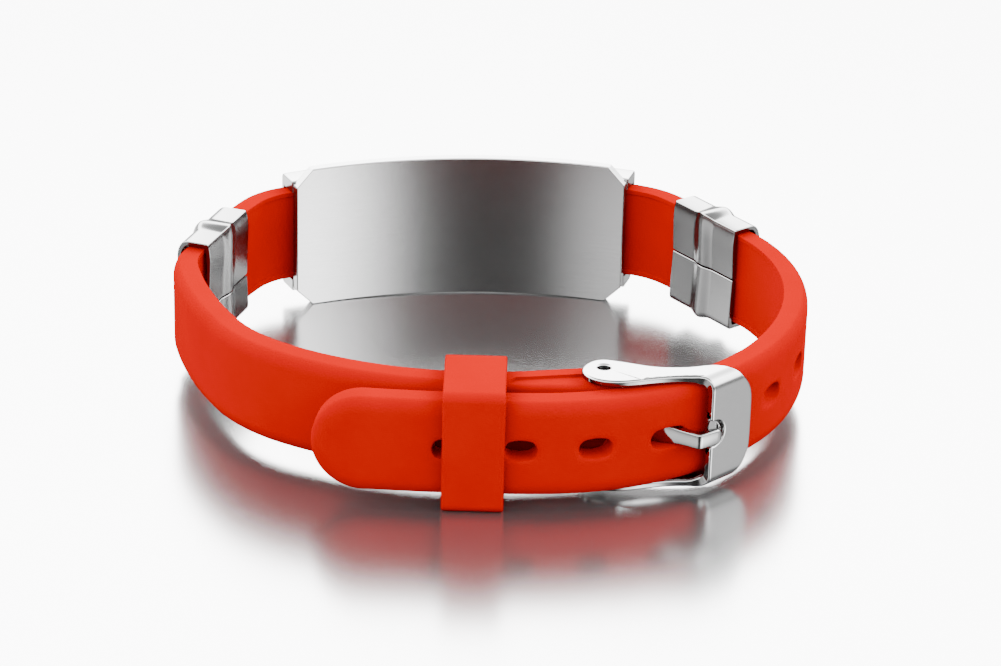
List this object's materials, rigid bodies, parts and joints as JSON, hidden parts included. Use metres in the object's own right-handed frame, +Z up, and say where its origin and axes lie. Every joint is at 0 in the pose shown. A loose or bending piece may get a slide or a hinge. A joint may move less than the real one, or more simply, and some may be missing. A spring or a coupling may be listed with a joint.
{
  "type": "medical alert bracelet",
  "caption": "Closed wrist band: flexible strap with a curved identification plate, sliding sleeves, a keeper loop and a pin buckle, lying on its side.",
  "frame": {"origin": "middle of the bounding box on the surface the bracelet lies on", "axes": "+Z up, with the bracelet on its side; +Y towards the plate, -Y towards the buckle; +X to the right of someone who looks at the buckle"},
  "size_m": [0.0712, 0.0646, 0.0176],
  "materials": {
    "plate_steel": "brushed",
    "silicone": "satin",
    "sleeve_steel": "satin",
    "buckle_steel": "polished"
  },
  "bodies": {
    "root": {"id_plate": "plate_steel", "strap_long": "silicone", "strap_short": "silicone", "sleeve_left": "sleeve_steel", "sleeve_right": "sleeve_steel", "keeper": "silicone", "buckle_frame": "buckle_steel", "buckle_tongue": "buckle_steel", "spring_bar": "buckle_steel"}
  },
  "joints": []
}
